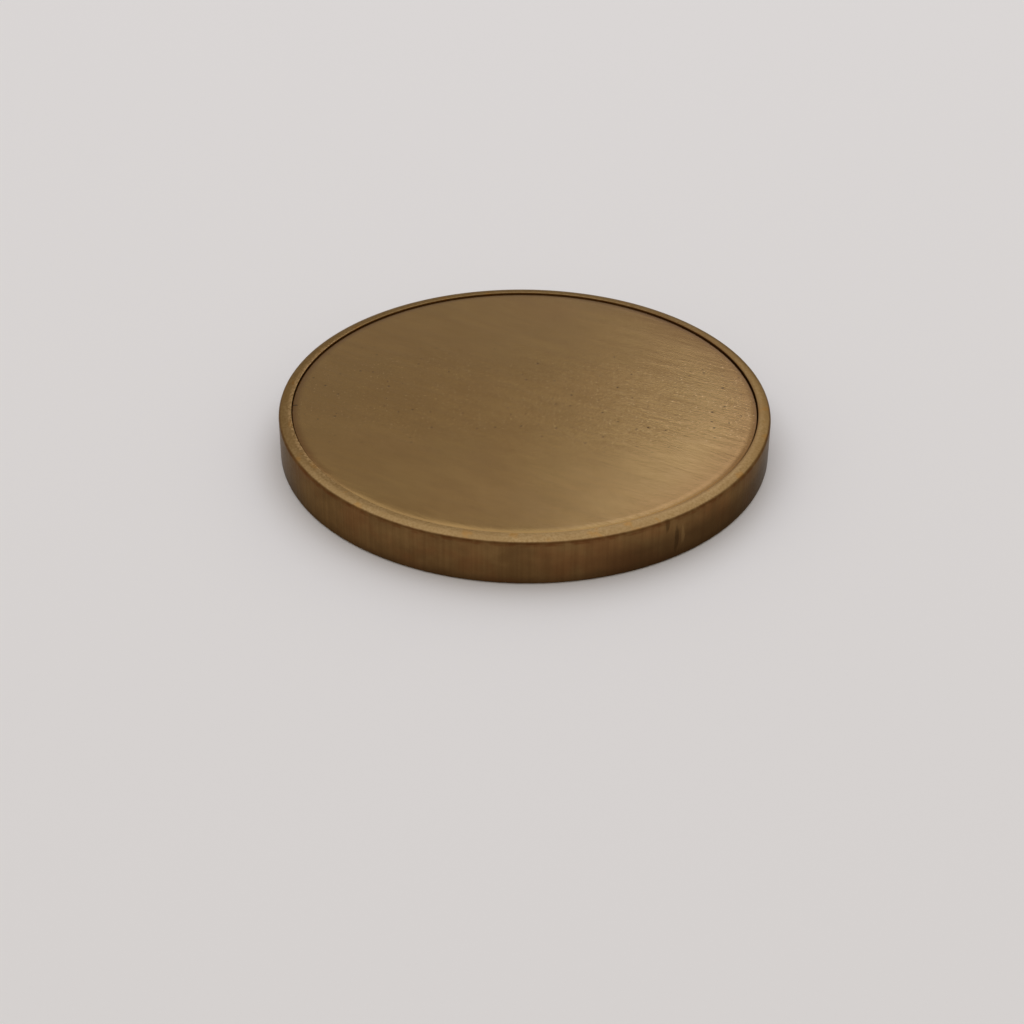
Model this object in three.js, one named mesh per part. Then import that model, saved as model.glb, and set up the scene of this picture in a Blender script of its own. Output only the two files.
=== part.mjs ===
// A golf ball marker: a shallow drawn brass cup that holds a steel core, which a hat clip or a
// pitch fork with a magnet can grip, and a straight-grained brass face disc over it. Two die-cut
// films of double-sided tape bond the core to the cup and the disc to the core.
// Millimetres, +Z up. The origin is the centre of the flat base that the marker rests on.

import * as THREE from "three";

// Driving dimensions of the cup
const OUTSIDE_DIAMETER = 25.4;
const WALL_THICKNESS = 0.65;
const FLOOR_THICKNESS = 0.65;
const BASE_CORNER_RADIUS = 0.15;
const SEAT_CORNER_RADIUS = 0.2;
const LIP_HEIGHT = 0.05; // how far the lip stands above the face disc
const LIP_OUTER_RADIUS = 0.2;
const LIP_INNER_RADIUS = 0.1;
const LIP_SLOPE = THREE.MathUtils.degToRad(12); // the lip's land falls away outwards

// Driving dimensions of what the cup holds
const CORE_THICKNESS = 1.0;
const CORE_EDGE_CHAMFER = 0.12;
const TAPE_THICKNESS = 0.15;
const FACE_THICKNESS = 0.5;
const FACE_ROLL_WIDTH = 0.5; // the rounded edge that the blanking press leaves on the face
const FACE_ROLL_DROP = 0.07;

// Clearances
const FACE_CLEARANCE = 0.05; // between the face disc's edge and the cup's wall, all round
const CORE_CLEARANCE = 0.1; // between the core's edge and the root of the cup's inner corner
const TAPE_INSET = 0.4; // how far each film's edge stays inside the core's edge

// How finely the round shapes are divided
const SEGMENTS_AROUND = 96;
const ARC_DIVISIONS = 3; // an arc is drawn with twice as many straight steps

// Radii and levels that follow from the dimensions above
const cupRadius = OUTSIDE_DIAMETER / 2;
const boreRadius = cupRadius - WALL_THICKNESS;
const faceRadius = boreRadius - FACE_CLEARANCE;
const coreRadius = boreRadius - SEAT_CORNER_RADIUS - CORE_CLEARANCE;
const tapeRadius = coreRadius - TAPE_INSET;
const coreTapeLevel = FLOOR_THICKNESS;
const coreLevel = coreTapeLevel + TAPE_THICKNESS;
const faceTapeLevel = coreLevel + CORE_THICKNESS;
const faceLevel = faceTapeLevel + TAPE_THICKNESS;
const faceTopLevel = faceLevel + FACE_THICKNESS;
const lipLevel = faceTopLevel + LIP_HEIGHT;

const QUARTER_TURN = Math.PI / 2;

const brass = { color: 0xa98350, roughness: 0.42, metalness: 1.0 };
const tarnishedBrass = { color: 0x8a6a3f, roughness: 0.48, metalness: 1.0 };
const steel = { color: 0x9a9a98, roughness: 0.4, metalness: 1.0 };
const tape = { color: 0xe6e2d6, roughness: 0.8, metalness: 0.0 };

// A closed round piece, named, from a half section drawn as radius against height.
function turnedPiece(name, halfSection, finish) {
  const geometry = new THREE.LatheGeometry(halfSection.getPoints(ARC_DIVISIONS), SEGMENTS_AROUND);
  geometry.rotateX(QUARTER_TURN);
  const mesh = new THREE.Mesh(geometry, new THREE.MeshStandardMaterial(finish));
  mesh.name = name;
  return mesh;
}

// The cup: flat base, rounded corner, straight wall, sloping lip, straight bore, flat floor.
function makeCup() {
  const landAngle = QUARTER_TURN - LIP_SLOPE; // direction of the land's normal
  const innerCentre = new THREE.Vector2(boreRadius + LIP_INNER_RADIUS, lipLevel - LIP_INNER_RADIUS);
  const landInnerRadius = innerCentre.x + LIP_INNER_RADIUS * Math.cos(landAngle);
  const landInnerLevel = innerCentre.y + LIP_INNER_RADIUS * Math.sin(landAngle);
  const outerCentreRadius = cupRadius - LIP_OUTER_RADIUS;
  const landOuterRadius = outerCentreRadius + LIP_OUTER_RADIUS * Math.cos(landAngle);
  const landFall = (landOuterRadius - landInnerRadius) * Math.tan(LIP_SLOPE);
  const outerCentreLevel = landInnerLevel - landFall - LIP_OUTER_RADIUS * Math.sin(landAngle);

  const section = new THREE.Path();
  section.moveTo(0, 0);
  section.lineTo(cupRadius - BASE_CORNER_RADIUS, 0);
  section.absarc(
    cupRadius - BASE_CORNER_RADIUS, BASE_CORNER_RADIUS, BASE_CORNER_RADIUS, -QUARTER_TURN, 0, false,
  );
  section.absarc(outerCentreRadius, outerCentreLevel, LIP_OUTER_RADIUS, 0, landAngle, false);
  section.absarc(innerCentre.x, innerCentre.y, LIP_INNER_RADIUS, landAngle, Math.PI, false);
  section.absarc(
    boreRadius - SEAT_CORNER_RADIUS, FLOOR_THICKNESS + SEAT_CORNER_RADIUS, SEAT_CORNER_RADIUS,
    0, -QUARTER_TURN, true,
  );
  section.lineTo(0, FLOOR_THICKNESS);
  return turnedPiece("cup", section, tarnishedBrass);
}

// The steel core: a blanked disc with a chamfer on both edges.
function makeCore() {
  const section = new THREE.Path();
  section.moveTo(0, 0);
  section.lineTo(coreRadius - CORE_EDGE_CHAMFER, 0);
  section.lineTo(coreRadius, CORE_EDGE_CHAMFER);
  section.lineTo(coreRadius, CORE_THICKNESS - CORE_EDGE_CHAMFER);
  section.lineTo(coreRadius - CORE_EDGE_CHAMFER, CORE_THICKNESS);
  section.lineTo(0, CORE_THICKNESS);
  const core = turnedPiece("steel_core", section, steel);
  core.position.z = coreLevel;
  return core;
}

// The face disc: flat, with its upper edge rolled down by the press.
function makeFaceDisc() {
  const section = new THREE.Path();
  section.moveTo(0, 0);
  section.lineTo(faceRadius, 0);
  section.absellipse(
    faceRadius - FACE_ROLL_WIDTH, FACE_THICKNESS - FACE_ROLL_DROP, FACE_ROLL_WIDTH, FACE_ROLL_DROP,
    0, QUARTER_TURN, false,
  );
  section.lineTo(0, FACE_THICKNESS);
  const face = turnedPiece("face_disc", section, brass);
  face.position.z = faceLevel;
  return face;
}

// A die-cut film of double-sided tape.
function makeTape(name, level) {
  const section = new THREE.Path();
  section.moveTo(0, 0);
  section.lineTo(tapeRadius, 0);
  section.lineTo(tapeRadius, TAPE_THICKNESS);
  section.lineTo(0, TAPE_THICKNESS);
  const film = turnedPiece(name, section, tape);
  film.position.z = level;
  return film;
}

const ballMarker = new THREE.Group();
ballMarker.add(
  makeCup(),
  makeTape("core_tape", coreTapeLevel),
  makeCore(),
  makeTape("face_tape", faceTapeLevel),
  makeFaceDisc(),
);

export default ballMarker;
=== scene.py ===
# A golf ball marker on a pale floor: a shallow drawn brass cup with a low crowned lip, and a
# straight-grained brass face disc lying just below that lip. Under the disc lie a steel core and
# the two films of tape that bond cup, core and disc together. Blender works in metres, and every
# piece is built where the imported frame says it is.

import math

import bpy
from mathutils import Matrix, Vector


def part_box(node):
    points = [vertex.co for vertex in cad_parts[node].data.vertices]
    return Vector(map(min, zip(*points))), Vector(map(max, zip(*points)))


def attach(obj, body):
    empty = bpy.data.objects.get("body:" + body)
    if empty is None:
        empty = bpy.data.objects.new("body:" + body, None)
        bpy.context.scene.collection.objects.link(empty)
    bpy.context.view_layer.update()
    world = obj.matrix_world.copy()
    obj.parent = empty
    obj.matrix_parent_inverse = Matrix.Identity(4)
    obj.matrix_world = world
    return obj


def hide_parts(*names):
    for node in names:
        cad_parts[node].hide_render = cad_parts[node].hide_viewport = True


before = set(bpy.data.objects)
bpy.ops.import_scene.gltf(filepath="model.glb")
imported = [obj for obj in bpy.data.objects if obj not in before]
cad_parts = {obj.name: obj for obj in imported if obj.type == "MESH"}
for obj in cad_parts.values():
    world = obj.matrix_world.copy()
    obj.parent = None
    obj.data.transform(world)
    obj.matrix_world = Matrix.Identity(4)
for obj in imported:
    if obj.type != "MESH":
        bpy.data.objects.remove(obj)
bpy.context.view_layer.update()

MM = 0.001

# Sizes of the pieces that the frame's boxes don't give
FACE_CLEARANCE = 0.035 * MM  # what grime leaves open between the face disc's edge and the cup's wall
BASE_CORNER_RADIUS = 0.15 * MM
SEAT_CORNER_RADIUS = 0.2 * MM
LIP_OUTER_RADIUS = 0.2 * MM
LIP_INNER_RADIUS = 0.03 * MM
LIP_CROWN_RADIUS = 0.9 * MM  # the lip is a low crown that falls away outwards
LIP_CROWN_INSET = 0.32 * MM  # from the outside of the wall to the middle of the crown
LIP_INNER_SLOPE = math.radians(5)
LIP_OUTER_SLOPE = math.radians(19)
FACE_ROLL_WIDTH = 0.5 * MM
FACE_ROLL_DROP = 0.07 * MM
CORE_EDGE_RADIUS = 0.12 * MM
CUT_EDGE_RADIUS = 0.03 * MM  # what a die leaves on the edges that nobody sees

# Radii and levels that the frame's boxes give
OUTER_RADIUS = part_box("cup")[1].x
LIP_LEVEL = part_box("cup")[1].z
FACE_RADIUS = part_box("face_disc")[1].x
BORE_RADIUS = FACE_RADIUS + FACE_CLEARANCE

# The face's scratches run this way, seen from above
GRAIN_ANGLE = math.radians(-31)
ANY_HEIGHT = 60 * MM  # a mark as tall as this reaches every height of the piece

# How finely the turned pieces are divided
STEPS_AROUND = 512
STEPS_PER_CORNER = 12
CARRIER_RADIUS = 1.0 * MM  # the circle a section is carried round; any size gives the same piece
MERGE_DISTANCE = 0.0005 * MM  # joins the points that fall together on the axis

# The camera looks past the marker's centre, so that the marker sits a little high in the picture
CAMERA_DISTANCE = 108.1 * MM
CAMERA_ELEVATION = math.radians(30.82)
CAMERA_ROLL = math.radians(0.63)
CAMERA_AIM_BELOW = math.radians(3.03)
CAMERA_AIM_LEFT = math.radians(0.35)
LENS_MM = 73.3
SENSOR_MM = 36.0


def linear(hex_colour):
    """An sRGB hex colour as the linear RGBA that Blender's sockets take."""
    channels = [int(hex_colour[i:i + 2], 16) / 255 for i in (0, 2, 4)]
    return [c / 12.92 if c <= 0.04045 else ((c + 0.055) / 1.055) ** 2.4 for c in channels] + [1.0]


def add(tree, kind, inputs=None, **settings):
    """Adds a node to a tree, makes its settings, and fills or links its inputs."""
    node = tree.nodes.new(kind)
    for name, value in settings.items():
        setattr(node, name, value)
    for key, value in (inputs or {}).items():
        if isinstance(value, bpy.types.NodeSocket):
            tree.links.new(value, node.inputs[key])
        else:
            node.inputs[key].default_value = value
    return node


# ---------------------------------------------------------------------------------------------
# Turned pieces
# ---------------------------------------------------------------------------------------------

def turned_tree(name, corners, sizes):
    """A tree that turns a half section about Z, with a named input for each size.

    A corner is (radius input, level input, rounding input), with None for the axis and for a
    corner that stays sharp. Rounding is done with the heights drawn 1 / Edge Squash times too
    large, so an Edge Squash below 1 presses the round corners into low, wide ellipses."""
    tree = bpy.data.node_groups.new(name, "GeometryNodeTree")
    for size in sizes:
        tree.interface.new_socket(size, in_out="INPUT", socket_type="NodeSocketFloat")
    for count in ("Steps Around", "Steps Per Corner"):
        tree.interface.new_socket(count, in_out="INPUT", socket_type="NodeSocketInt")
    tree.interface.new_socket("Finish", in_out="INPUT", socket_type="NodeSocketMaterial")
    tree.interface.new_socket("Piece", in_out="OUTPUT", socket_type="NodeSocketGeometry")
    given = add(tree, "NodeGroupInput").outputs

    index = add(tree, "GeometryNodeInputIndex").outputs[0]
    places = add(tree, "GeometryNodeIndexSwitch", data_type="VECTOR")
    roundings = add(tree, "GeometryNodeIndexSwitch", data_type="FLOAT")
    for switch in (places, roundings):
        tree.links.new(index, switch.inputs["Index"])
        while len(switch.index_switch_items) < len(corners):
            switch.index_switch_items.new()
    for number, (radius, level, rounding) in enumerate(corners):
        at = {"Y": given[level]}
        if radius:
            at["X"] = given[radius]
        place = add(tree, "ShaderNodeCombineXYZ", at)
        tree.links.new(place.outputs[0], places.inputs[number + 1])
        if rounding:
            tree.links.new(given[rounding], roundings.inputs[number + 1])
    outline = add(tree, "GeometryNodePoints", {"Count": len(corners), "Position": places.outputs[0]})
    outline = add(tree, "GeometryNodePointsToCurves", {"Points": outline.outputs[0]})

    stretch = add(tree, "ShaderNodeMath", {0: 1.0, 1: given["Edge Squash"]}, operation="DIVIDE")
    stretch = add(tree, "ShaderNodeCombineXYZ", {"X": 1.0, "Y": stretch.outputs[0], "Z": 1.0})
    # A profile's Y points down once it is carried round, so the squash turns it over as well
    squash = add(tree, "ShaderNodeMath", {0: given["Edge Squash"], 1: -1.0}, operation="MULTIPLY")
    squash = add(tree, "ShaderNodeCombineXYZ", {"X": 1.0, "Y": squash.outputs[0], "Z": 1.0})
    stretched = add(tree, "GeometryNodeTransform", {
        "Geometry": outline.outputs[0], "Scale": stretch.outputs[0],
    })
    rounded = add(tree, "GeometryNodeFilletCurve", {
        "Curve": stretched.outputs[0], "Count": given["Steps Per Corner"],
        "Radius": roundings.outputs[0], "Limit Radius": True,
    }, mode="POLY")
    section = add(tree, "GeometryNodeTransform", {
        "Geometry": rounded.outputs[0],
        "Translation": (-CARRIER_RADIUS, 0, 0),
        "Scale": squash.outputs[0],
    })

    carrier = add(tree, "GeometryNodeCurvePrimitiveCircle", {
        "Resolution": given["Steps Around"], "Radius": CARRIER_RADIUS,
    })
    turned = add(tree, "GeometryNodeCurveToMesh", {
        "Curve": carrier.outputs[0], "Profile Curve": section.outputs[0],
    })
    outward = add(tree, "GeometryNodeFlipFaces", {"Mesh": turned.outputs[0]})
    closed = add(tree, "GeometryNodeMergeByDistance", {
        "Geometry": outward.outputs[0], "Distance": MERGE_DISTANCE,
    })
    smooth = add(tree, "GeometryNodeSetShadeSmooth", {"Geometry": closed.outputs[0]})
    realised = add(tree, "GeometryNodeRealizeInstances", {"Geometry": smooth.outputs[0]})
    finished = add(tree, "GeometryNodeSetMaterial", {
        "Geometry": realised.outputs[0], "Material": given["Finish"],
    })
    add(tree, "NodeGroupOutput", {"Piece": finished.outputs[0]})
    return tree


def turned_piece(node, corners, sizes, finish):
    """Turns the smooth piece that stands for a CAD node."""
    sizes = {"Base Level": 0.0, "Edge Squash": 1.0, **sizes}
    tree = turned_tree(node + "_turning", corners, sizes)
    piece = bpy.data.objects.new(node + "_turned", bpy.data.meshes.new(node + "_blank"))
    bpy.context.scene.collection.objects.link(piece)
    turning = piece.modifiers.new("turning", "NODES")
    turning.node_group = tree
    values = {
        **sizes,
        "Steps Around": STEPS_AROUND,
        "Steps Per Corner": STEPS_PER_CORNER,
        "Finish": finish,
    }
    for item in tree.interface.items_tree:
        if item.in_out == "INPUT":
            turning[item.identifier] = values[item.name]
    # Large flat faces keep their own direction, and only the rounded corners turn it
    weighting = piece.modifiers.new("flat faces stay flat", "WEIGHTED_NORMAL")
    weighting.weight = 100
    depsgraph = bpy.context.evaluated_depsgraph_get()
    mesh = bpy.data.meshes.new_from_object(piece.evaluated_get(depsgraph))
    mesh.name = node + "_turned"
    piece.modifiers.clear()
    piece.data = mesh
    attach(piece, "root")
    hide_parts(node)


def make_cup(finish):
    """The cup: flat base, rounded corner, straight wall, crowned lip, bore and floor."""
    crown_radius = OUTER_RADIUS - LIP_CROWN_INSET
    # Rounding a corner lowers it, so the bore's corner is drawn that much above the lip's crest
    rounding_drop = math.tan(LIP_INNER_SLOPE) + 1 / math.cos(LIP_INNER_SLOPE) - 1
    bore_level = LIP_LEVEL + LIP_INNER_RADIUS * rounding_drop
    crown_level = bore_level - (crown_radius - BORE_RADIUS) * math.tan(LIP_INNER_SLOPE)
    corners = [
        (None, "Base Level", None),
        ("Outer Radius", "Base Level", "Base Corner Radius"),
        ("Outer Radius", "Shoulder Level", "Lip Outer Radius"),
        ("Crown Corner Radius", "Crown Corner Level", "Crown Radius"),
        ("Bore Radius", "Bore Corner Level", "Lip Inner Radius"),
        ("Bore Radius", "Floor Level", "Seat Corner Radius"),
        (None, "Floor Level", None),
    ]
    turned_piece("cup", corners, {
        "Outer Radius": OUTER_RADIUS,
        "Crown Corner Radius": crown_radius,
        "Bore Radius": BORE_RADIUS,
        "Floor Level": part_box("core_tape")[0].z,
        "Crown Corner Level": crown_level,
        "Bore Corner Level": bore_level,
        "Shoulder Level": crown_level - LIP_CROWN_INSET * math.tan(LIP_OUTER_SLOPE),
        "Crown Radius": LIP_CROWN_RADIUS,
        "Base Corner Radius": BASE_CORNER_RADIUS,
        "Lip Outer Radius": LIP_OUTER_RADIUS,
        "Lip Inner Radius": LIP_INNER_RADIUS,
        "Seat Corner Radius": SEAT_CORNER_RADIUS,
    }, finish)


def make_disc(node, lower_radius, upper_radius, finish, edge_squash=1.0):
    """A disc that fills a CAD node's box, with its two edges rounded."""
    low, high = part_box(node)
    corners = [
        (None, "Base Level", None),
        ("Outer Radius", "Base Level", "Lower Edge Radius"),
        ("Outer Radius", "Top Level", "Upper Edge Radius"),
        (None, "Top Level", None),
    ]
    turned_piece(node, corners, {
        "Base Level": low.z,
        "Top Level": high.z,
        "Outer Radius": high.x,
        "Lower Edge Radius": lower_radius,
        "Upper Edge Radius": upper_radius,
        "Edge Squash": edge_squash,
    }, finish)


# ---------------------------------------------------------------------------------------------
# Finishes
# ---------------------------------------------------------------------------------------------

def new_finish(name, metallic):
    """An empty material, its tree, its shader and the piece's own coordinates in metres."""
    material = bpy.data.materials.new(name)
    material.use_nodes = True
    tree = material.node_tree
    shader = tree.nodes["Principled BSDF"]
    shader.inputs["Metallic"].default_value = metallic
    place = add(tree, "ShaderNodeTexCoord").outputs["Object"]
    return material, tree, shader, place


def cloud(tree, place, size, detail=2.0, roughness=0.5, span=(0.3, 0.7)):
    """Noise with lumps of one size, in metres along x, y and z, whose span is stretched to 0 to 1."""
    scaled = add(tree, "ShaderNodeMapping", {"Vector": place, "Scale": [1 / s for s in size]})
    noise = add(tree, "ShaderNodeTexNoise", {
        "Vector": scaled.outputs[0], "Scale": 1.0, "Detail": detail, "Roughness": roughness,
    })
    return add(tree, "ShaderNodeMapRange", {
        "Value": noise.outputs[0], "From Min": span[0], "From Max": span[1],
    }, interpolation_type="SMOOTHSTEP").outputs[0]


def specks(tree, place, spacing, radius, share, seed):
    """Round specks of mixed sizes, seen from above, in a share of the cells of a scatter: 1 in the
    middle of a speck and 0 elsewhere. The radius is the largest speck's, and the seed is a shift in
    metres that gives each scatter its own places."""
    smallest = 0.4  # as a share of the largest
    moved = add(tree, "ShaderNodeMapping", {"Vector": place, "Location": (seed, seed, 0)})
    cells = add(tree, "ShaderNodeTexVoronoi", {
        "Vector": moved.outputs[0], "Scale": 1 / spacing,
    }, voronoi_dimensions="2D")
    chance = add(tree, "ShaderNodeSeparateColor", {0: cells.outputs["Color"]}).outputs
    reach = add(tree, "ShaderNodeMapRange", {
        "Value": chance[1], "To Min": smallest * radius / spacing, "To Max": radius / spacing,
    })
    inside = add(tree, "ShaderNodeMapRange", {
        "Value": cells.outputs["Distance"], "From Min": reach.outputs[0], "From Max": 0.0,
    }, interpolation_type="SMOOTHSTEP")
    chosen = add(tree, "ShaderNodeMath", {0: chance[0], 1: 1 - share}, operation="GREATER_THAN")
    return add(tree, "ShaderNodeMath", {
        0: inside.outputs[0], 1: chosen.outputs[0],
    }, operation="MULTIPLY").outputs[0]


def mark(tree, place, centre, half_sizes):
    """One soft-edged oval mark, 1 in its middle and 0 beyond its half sizes along x, y and z."""
    full_within = 0.4  # as a share of the half sizes
    moved = add(tree, "ShaderNodeVectorMath", {0: place, 1: centre}, operation="SUBTRACT")
    shrunk = add(tree, "ShaderNodeVectorMath", {
        0: moved.outputs[0], 1: half_sizes,
    }, operation="DIVIDE")
    far = add(tree, "ShaderNodeVectorMath", {0: shrunk.outputs[0]}, operation="LENGTH")
    return add(tree, "ShaderNodeMapRange", {
        "Value": far.outputs["Value"], "From Min": 1.0, "From Max": full_within,
    }, interpolation_type="SMOOTHSTEP").outputs[0]


def upright_mark(tree, place, degrees_right, level, half_width, half_height):
    """A mark on the cup's wall, so many degrees to the right of its front."""
    azimuth = math.radians(degrees_right)
    centre = (OUTER_RADIUS * math.sin(azimuth), -OUTER_RADIUS * math.cos(azimuth), level)
    return mark(tree, place, centre, (half_width, half_width, half_height))


def region(tree, steps, mask=1.0):
    """A mask narrowed by soft steps. Each step is a value, where it starts to let the mask through
    and where it lets all of it through."""
    for value, start, end in steps:
        step = add(tree, "ShaderNodeMapRange", {
            "Value": value, "From Min": start, "From Max": end,
        }, interpolation_type="SMOOTHSTEP")
        mask = add(tree, "ShaderNodeMath", {
            0: mask, 1: step.outputs[0],
        }, operation="MULTIPLY").outputs[0]
    return mask


def stained(tree, colour, masks, strength, stain):
    """A colour with a stain over it, as strong as all of its masks together say."""
    for mask in masks:
        strength = add(tree, "ShaderNodeMath", {0: strength, 1: mask}, operation="MULTIPLY").outputs[0]
    # A colour mix has its factor at 0, its two colours at 6 and 7, and its result at 2
    return add(tree, "ShaderNodeMix", {
        0: strength, 6: colour, 7: linear(stain),
    }, data_type="RGBA").outputs[2]


def set_surface(tree, shader, colour, texture, roughness, relief):
    """Gives a shader its colour, its roughness and its relief. The roughness runs from one value to
    the other as the texture does. Each layer of the relief is its masks and its rise in metres."""
    tree.links.new(colour, shader.inputs["Base Color"])
    varied = add(tree, "ShaderNodeMapRange", {
        "Value": texture, "To Min": roughness[0], "To Max": roughness[1],
    })
    tree.links.new(varied.outputs[0], shader.inputs["Roughness"])
    height = 0.0
    for masks, rise in relief:
        for mask in masks:
            rise = add(tree, "ShaderNodeMath", {0: rise, 1: mask}, operation="MULTIPLY").outputs[0]
        height = add(tree, "ShaderNodeMath", {0: height, 1: rise}, operation="ADD").outputs[0]
    bump = add(tree, "ShaderNodeBump", {"Height": height, "Strength": 1.0, "Distance": 1.0})
    tree.links.new(bump.outputs[0], shader.inputs["Normal"])


def distance_from_axis(tree, place):
    """How far a place is from the marker's upright axis, in metres."""
    flat = add(tree, "ShaderNodeMapping", {"Vector": place, "Scale": (1, 1, 0)})
    return add(tree, "ShaderNodeVectorMath", {0: flat.outputs[0]}, operation="LENGTH").outputs["Value"]


def straight_grained_brass():
    """Sheet brass brushed one way with a fine belt, then lacquered and handled for years. It gives
    a soft brown-gold sheen, with short scratches that flash where the light catches them, dull
    mottling, brown patina along the edge with painted shade on its rolled rim, painted shade towards
    the right edge, dark pits, and painted glints across the middle."""
    material, tree, shader, place = new_finish("straight_grained_brass", metallic=1.0)
    along = add(tree, "ShaderNodeMapping", {
        "Vector": place, "Rotation": (0, 0, -GRAIN_ANGLE),
    }).outputs[0]
    radius = distance_from_axis(tree, place)
    across, back, _ = add(tree, "ShaderNodeSeparateXYZ", {0: place}).outputs
    # A belt's real scratches are 0.02 mm apart; these are drawn coarser so that they show
    fine = cloud(tree, along, (0.8 * MM, 0.14 * MM, 0.14 * MM))
    dashes = cloud(tree, along, (0.6 * MM, 0.11 * MM, 0.11 * MM), detail=1.0, span=(0.5, 0.75))
    grit = cloud(tree, place, (0.12 * MM,) * 3, detail=1.0)
    streaks = cloud(tree, along, (3.5 * MM, 0.5 * MM, 0.5 * MM))
    mottle = cloud(tree, along, (3.5 * MM, 1.8 * MM, 1.8 * MM), detail=4.0, roughness=0.6)
    olive = cloud(tree, place, (5 * MM,) * 3, detail=2.0)
    edge_patina_and_shade = region(tree, [(radius, FACE_RADIUS - 0.5 * MM, FACE_RADIUS), (back, -10 * MM, -5 * MM)])
    # The side of the face that the lamp's sheen lies across
    sheen_side = region(tree, [(across, -4 * MM, 7 * MM)])
    painted_right_edge_shade = region(tree, [(radius, FACE_RADIUS - 2.4 * MM, FACE_RADIUS), (across, 2 * MM, 9 * MM)])
    middle = mark(tree, place, (1 * MM, 0.6 * MM, 0), (26 * MM, 7 * MM, ANY_HEIGHT))
    pits = specks(tree, place, 0.8 * MM, 0.11 * MM, 0.35, 3.1 * MM)
    painted_glints = specks(tree, place, 0.32 * MM, 0.054 * MM, 0.38, 7.7 * MM)
    painted_sparks = specks(tree, place, 0.22 * MM, 0.054 * MM, 0.3, 5.9 * MM)
    nick_place = (0.144 * MM - FACE_RADIUS, -0.5 * MM, 0)
    nick = mark(tree, place, nick_place, (0.24 * MM, 0.07 * MM, ANY_HEIGHT))

    colour = stained(tree, linear("9A7C4C"), [mottle], 0.8, "917345")
    colour = stained(tree, colour, [olive], 0.4, "937949")
    colour = stained(tree, colour, [streaks], 0.3, "8C6F45")
    # Patina along the face's edge, which also serves as painted shade where the rolled edge turns from
    # the light; it fades out towards the front
    colour = stained(tree, colour, [edge_patina_and_shade], 0.65, "664322")
    # Painted shade: the face darkens towards its right edge, where the lamp's sheen falls off
    colour = stained(tree, colour, [painted_right_edge_shade], 0.5, "7A5831")
    colour = stained(tree, colour, [grit, middle], 0.2, "7A603A")
    # Painted glints: bright specks painted into the colour where the metal would catch the light
    colour = stained(tree, colour, [painted_glints, middle], 0.4, "E6CFA4")
    # Painted sparks: more bright specks painted on the side that the lamp's sheen lies across
    colour = stained(tree, colour, [painted_sparks, middle, sheen_side], 0.2, "EAD4A8")
    colour = stained(tree, colour, [pits, middle], 0.75, "33241A")
    colour = stained(tree, colour, [nick], 0.8, "2E2012")

    set_surface(tree, shader, colour, texture=fine, roughness=(0.23, 0.26), relief=[
        ([fine], 0.0013 * MM), ([streaks], 0.0048 * MM), ([dashes, middle], 0.0018 * MM),
        ([dashes, middle, sheen_side], 0.0013 * MM), ([grit, middle], 0.0005 * MM),
        ([pits, middle], -0.004 * MM),
    ])
    return material


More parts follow.
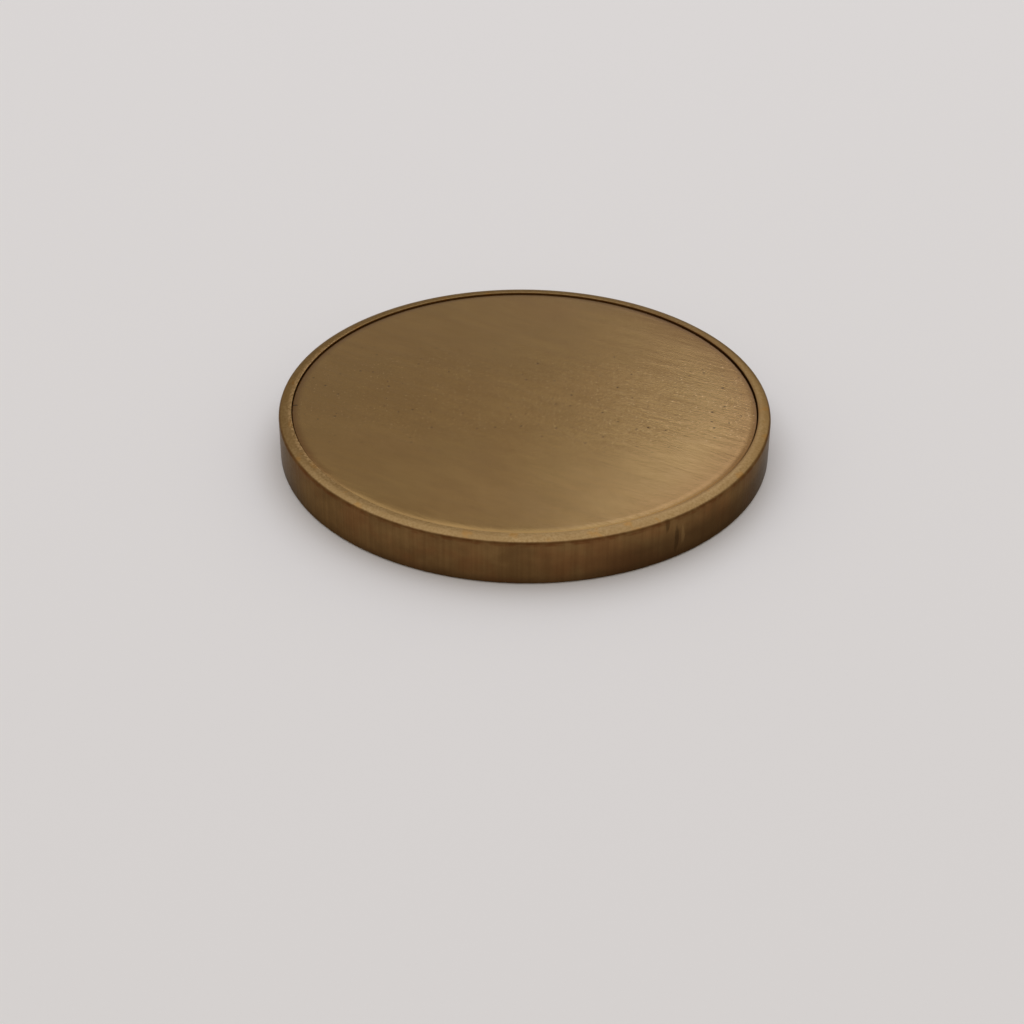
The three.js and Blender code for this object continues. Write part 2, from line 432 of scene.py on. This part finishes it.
def drawn_brass():
    """Brass drawn into a cup and tumbled. The lip is satin and finely grained, with amber
    spots, and its inner edge has a painted highlight on one side and painted shade on the other. The
    wall carries soft upright draw lines under patchy olive and red-brown patina, and is painted darker
    than the lip, partly as shade, with painted shade low on one side and along its foot; it has taken
    two upright knocks."""
    material, tree, shader, place = new_finish("drawn_brass", metallic=1.0)
    radius = distance_from_axis(tree, place)
    across, _, level = add(tree, "ShaderNodeSeparateXYZ", {0: place}).outputs
    on_wall = region(tree, [(radius, OUTER_RADIUS - 0.12 * MM, OUTER_RADIUS - 0.01 * MM)])
    painted_edge_highlight = region(tree, [
        (radius, BORE_RADIUS + 0.24 * MM, BORE_RADIUS + 0.1 * MM), (across, -8.5 * MM, -11.5 * MM),
    ])
    painted_groove_shade = region(tree, [
        (radius, BORE_RADIUS + 0.17 * MM, BORE_RADIUS + 0.02 * MM), (across, 4.5 * MM, 8.5 * MM),
    ])
    painted_low_shade = region(tree, [(across, 1.5 * MM, 6 * MM), (level, 2.1 * MM, 1.0 * MM)])
    base = region(tree, [(level, 0.6 * MM, 0.05 * MM)])

    grain = cloud(tree, place, (0.12 * MM,) * 3)
    wear = cloud(tree, place, (1.5 * MM,) * 3, detail=3.0)
    amber = cloud(tree, place, (0.9 * MM,) * 3, span=(0.6, 0.72))
    lines = cloud(tree, place, (0.24 * MM, 0.24 * MM, 9 * MM), detail=3.0, roughness=0.6)
    patches = cloud(tree, place, (1.9 * MM, 1.9 * MM, 1.3 * MM), detail=4.0, roughness=0.6)
    red_brown = cloud(tree, place, (2.2 * MM, 2.2 * MM, 1.6 * MM), detail=3.0, span=(0.45, 0.65))
    ragged_line = cloud(tree, place, (0.5 * MM, 0.5 * MM, 0.3 * MM), detail=3.0)
    below_lip = region(tree, [(level, LIP_LEVEL - 0.4 * MM, LIP_LEVEL - 0.26 * MM)], mask=ragged_line)

    # The outlines of the knocks and the scuff wander by up to this much
    wander_limit = 0.15 * MM
    wander = add(tree, "ShaderNodeMapping", {
        "Vector": place, "Scale": (1 / (0.3 * MM), 1 / (0.3 * MM), 1 / (0.9 * MM)),
    })
    wander = add(tree, "ShaderNodeTexNoise", {"Vector": wander.outputs[0], "Scale": 1.0, "Detail": 2.0})
    wander = add(tree, "ShaderNodeVectorMath", {
        0: wander.outputs["Color"], 1: (2 * wander_limit,) * 3, 2: (-wander_limit,) * 3,
    }, operation="MULTIPLY_ADD")
    ragged = add(tree, "ShaderNodeVectorMath", {
        0: place, 1: wander.outputs[0],
    }, operation="ADD").outputs[0]
    high_knock = upright_mark(tree, ragged, degrees_right=32.75, level=2.1 * MM,
                              half_width=0.2 * MM, half_height=0.55 * MM)
    low_knock = upright_mark(tree, ragged, degrees_right=35.42, level=1.15 * MM,
                             half_width=0.18 * MM, half_height=1.05 * MM)
    scuff = upright_mark(tree, ragged, degrees_right=37.1, level=1.3 * MM,
                         half_width=0.14 * MM, half_height=0.7 * MM)

    lip = stained(tree, linear("896F46"), [grain], 0.8, "A0855B")
    lip = stained(tree, lip, [wear], 0.5, "8C7047")
    lip = stained(tree, lip, [amber], 0.4, "A0702E")
    # Painted highlight: the lip's inner edge on the left painted bright, where it would catch the light
    # from the right
    lip = stained(tree, lip, [painted_edge_highlight, grain], 0.8, "C2A273")
    # Painted shade: the lip's inner edge by the groove on the right painted dark, where it reflects the
    # dim side of the room
    lip = stained(tree, lip, [painted_groove_shade], 0.5, "664628")
    # The wall is coloured darker than the lip, partly as patina and partly as painted shade for the
    # dark surroundings it reflects
    wall = stained(tree, linear("80623C"), [patches], 0.65, "64492B")
    wall = stained(tree, wall, [red_brown], 0.35, "7C4E2E")
    wall = stained(tree, wall, [lines], 0.3, "563D22")
    # Painted shade: the wall darkens low down on its right side
    wall = stained(tree, wall, [painted_low_shade], 0.6, "46301C")
    # Painted shade: the wall darkens along its foot, next to the floor
    wall = stained(tree, wall, [base], 0.45, "46301C")
    wall = stained(tree, wall, [high_knock], 0.45, "2E1E10")
    wall = stained(tree, wall, [low_knock], 0.5, "2E1E10")
    wall = stained(tree, wall, [scuff], 0.4, "93744A")
    colour = add(tree, "ShaderNodeMix", {0: on_wall, 6: lip, 7: wall}, data_type="RGBA").outputs[2]
    colour = stained(tree, colour, [on_wall, below_lip], 0.6, "5A3014")

    # Tarnish keeps the metal from whitening where it is seen edge on
    shader.inputs["Specular Tint"].default_value = linear("CBC7C0")
    set_surface(tree, shader, colour, texture=grain, roughness=(0.28, 0.34), relief=[
        ([grain], 0.0016 * MM), ([lines, on_wall], 0.003 * MM),
        ([high_knock], -0.02 * MM), ([low_knock], -0.02 * MM),
    ])
    return material


def rolled_steel():
    """Cold-rolled steel strip: cool grey, satin, with faint roll lines and oil-brown clouding."""
    material, tree, shader, place = new_finish("rolled_steel", metallic=1.0)
    lines = cloud(tree, place, (9 * MM, 0.12 * MM, 0.12 * MM), detail=3.0)
    clouding = cloud(tree, place, (4 * MM,) * 3, detail=3.0, span=(0.5, 0.75))
    colour = stained(tree, linear("A2A3A4"), [lines], 1.0, "B6B7B7")
    colour = stained(tree, colour, [clouding], 0.5, "8E8474")
    set_surface(tree, shader, colour, texture=lines, roughness=(0.3, 0.42), relief=[
        ([lines], 0.002 * MM),
    ])
    return material


def adhesive_film():
    """Acrylic double-sided film: milky, faintly yellow and tacky, with trapped air and ripples."""
    material, tree, shader, place = new_finish("adhesive_film", metallic=0.0)
    ripples = cloud(tree, place, (1.5 * MM,) * 3, detail=3.0)
    bubbles = specks(tree, place, 1.4 * MM, 0.18 * MM, 0.35, 2.3 * MM)
    colour = stained(tree, linear("D9D2BD"), [ripples], 1.0, "E6E1D0")
    colour = stained(tree, colour, [bubbles], 0.5, "F4F1E8")
    set_surface(tree, shader, colour, texture=ripples, roughness=(0.38, 0.55), relief=[
        ([ripples], 0.006 * MM), ([bubbles], 0.003 * MM),
    ])
    return material


# ---------------------------------------------------------------------------------------------
# The stage
# ---------------------------------------------------------------------------------------------

def make_floor():
    """A wide sheet of pale matt card under the marker."""
    half_width = 3000 * MM
    mesh = bpy.data.meshes.new("floor")
    turns = ((-1, -1), (1, -1), (1, 1), (-1, 1))
    corners = [(x * half_width, y * half_width, 0) for x, y in turns]
    mesh.from_pydata(corners, [], [(0, 1, 2, 3)])
    floor = bpy.data.objects.new("floor", mesh)
    bpy.context.scene.collection.objects.link(floor)
    card = bpy.data.materials.new("pale_matt_card")
    card.use_nodes = True
    shader = card.node_tree.nodes["Principled BSDF"]
    shader.inputs["Base Color"].default_value = linear("F0F0EE")
    shader.inputs["Roughness"].default_value = 0.9
    shader.inputs["Specular IOR Level"].default_value = 0.2
    mesh.materials.append(card)


def make_soft_light(name, azimuth, elevation, distance, width, height, radiance, colour,
                    shape="RECTANGLE"):
    """A soft light that faces the marker, with its sizes in metres and how bright it looks. The
    azimuth and the elevation are in degrees. Azimuth 0 is behind the marker, and positive is to its
    right."""
    azimuth = math.radians(azimuth)
    elevation = math.radians(elevation)
    data = bpy.data.lights.new(name, "AREA")
    data.shape = shape
    data.size = width
    data.size_y = height
    area = width * height * (math.pi / 4 if shape == "ELLIPSE" else 1)
    data.energy = radiance * math.pi * area
    data.color = linear(colour)[:3]
    light = bpy.data.objects.new(name, data)
    bpy.context.scene.collection.objects.link(light)
    towards = Vector((
        math.sin(azimuth) * math.cos(elevation),
        math.cos(azimuth) * math.cos(elevation),
        math.sin(elevation),
    ))
    light.location = towards * distance
    light.rotation_mode = "QUATERNION"
    light.rotation_quaternion = towards.to_track_quat("Z", "Y")


def make_surroundings():
    """A dim, slightly warm room with a broad panel overhead, and two lights behind the marker: a
    low card to its right, and the small soft lamp whose sheen lies across the face."""
    world = bpy.data.worlds.new("studio")
    bpy.context.scene.world = world
    world.use_nodes = True
    background = world.node_tree.nodes["Background"]
    background.inputs["Color"].default_value = linear("B8AFA5")
    background.inputs["Strength"].default_value = 1.0
    make_soft_light("panel", azimuth=-8, elevation=77, distance=400 * MM, width=660 * MM,
                    height=540 * MM, radiance=0.88, colour="E8EEFF")
    make_soft_light("card", azimuth=27, elevation=27, distance=350 * MM, width=190 * MM,
                    height=120 * MM, radiance=0.45, colour="FFFDFA")
    make_soft_light("lamp", azimuth=9.7, elevation=37.5, distance=350 * MM, width=62 * MM,
                    height=62 * MM, radiance=2.85, colour="D5DFFF", shape="ELLIPSE")


def make_camera():
    """The camera, above and in front, turned a little off the marker's centre."""
    data = bpy.data.cameras.new("camera")
    data.sensor_width = SENSOR_MM
    data.lens = LENS_MM
    data.clip_start = 1 * MM
    data.clip_end = 10000 * MM
    camera = bpy.data.objects.new("camera", data)
    bpy.context.scene.collection.objects.link(camera)
    back = Vector((0, -math.cos(CAMERA_ELEVATION), math.sin(CAMERA_ELEVATION)))
    lip_centre = Vector((0, 0, LIP_LEVEL))
    facing = (-back).to_track_quat("-Z", "Y").to_matrix().to_4x4()
    aim = Matrix.Rotation(-CAMERA_AIM_BELOW, 4, "X") @ Matrix.Rotation(CAMERA_AIM_LEFT, 4, "Y")
    roll = Matrix.Rotation(CAMERA_ROLL, 4, "Z")
    camera.matrix_world = Matrix.Translation(lip_centre + back * CAMERA_DISTANCE) @ facing @ roll @ aim
    bpy.context.scene.camera = camera


make_camera()
make_floor()
make_surroundings()
bpy.context.scene.view_settings.view_transform = "Standard"

make_cup(drawn_brass())
make_disc("face_disc", CUT_EDGE_RADIUS, FACE_ROLL_WIDTH, straight_grained_brass(),
          edge_squash=FACE_ROLL_DROP / FACE_ROLL_WIDTH)
make_disc("steel_core", CORE_EDGE_RADIUS, CORE_EDGE_RADIUS, rolled_steel())
film = adhesive_film()
for node in ("core_tape", "face_tape"):
    make_disc(node, CUT_EDGE_RADIUS, CUT_EDGE_RADIUS, film)
